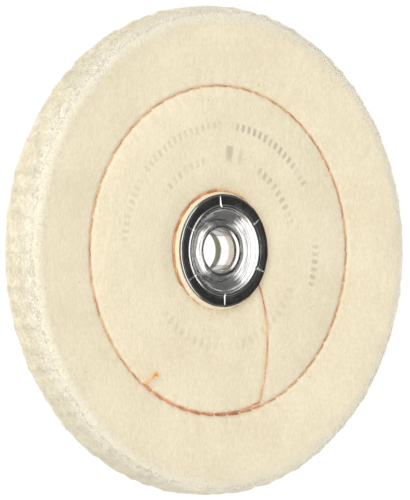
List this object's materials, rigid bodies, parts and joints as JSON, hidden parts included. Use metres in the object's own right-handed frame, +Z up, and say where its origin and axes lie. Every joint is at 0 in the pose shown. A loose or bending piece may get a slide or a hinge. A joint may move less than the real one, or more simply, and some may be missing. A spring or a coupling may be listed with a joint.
{
  "type": "cotton polishing wheel",
  "caption": "Round polishing wheel of stitched cotton discs, with concentric rings of orange thread and a dished steel hub around its arbor hole.",
  "frame": {"origin": "the wheel's centre, on the spindle axis and midway between its faces", "axes": "+Y along the spindle axis towards the rear face, so the front face looks along -Y; +Z up with the wheel upright"},
  "size_m": [0.1524, 0.0158, 0.1524],
  "materials": {
    "cotton": "unbleached cotton muslin, matt, with a soft pile at the rim",
    "nickel_steel": "bright nickel plate on pressed steel",
    "orange_thread": "twisted orange sewing thread, matt"
  },
  "bodies": {
    "root": {"front_face_discs": "cotton", "discs_03_04": "cotton", "discs_05_06": "cotton", "discs_07_08": "cotton", "discs_09_10": "cotton", "discs_11_12": "cotton", "discs_13_14": "cotton", "discs_15_16": "cotton", "discs_17_18": "cotton", "discs_19_20": "cotton", "discs_21_22": "cotton", "discs_23_24": "cotton", "discs_25_26": "cotton", "discs_27_28": "cotton", "discs_29_30": "cotton", "discs_31_32": "cotton", "discs_33_34": "cotton", "discs_35_36": "cotton", "discs_37_38": "cotton", "discs_39_40": "cotton", "discs_41_42": "cotton", "discs_43_44": "cotton", "discs_45_46": "cotton", "discs_47_48": "cotton", "discs_49_50": "cotton", "discs_51_52": "cotton", "discs_53_54": "cotton", "discs_55_56": "cotton", "discs_57_58": "cotton", "rear_face_discs": "cotton", "front_cup_washer": "nickel_steel", "rear_cup_washer": "nickel_steel", "arbor_eyelet": "nickel_steel", "needle_thread": "orange_thread", "bobbin_thread": "orange_thread"}
  },
  "joints": []
}
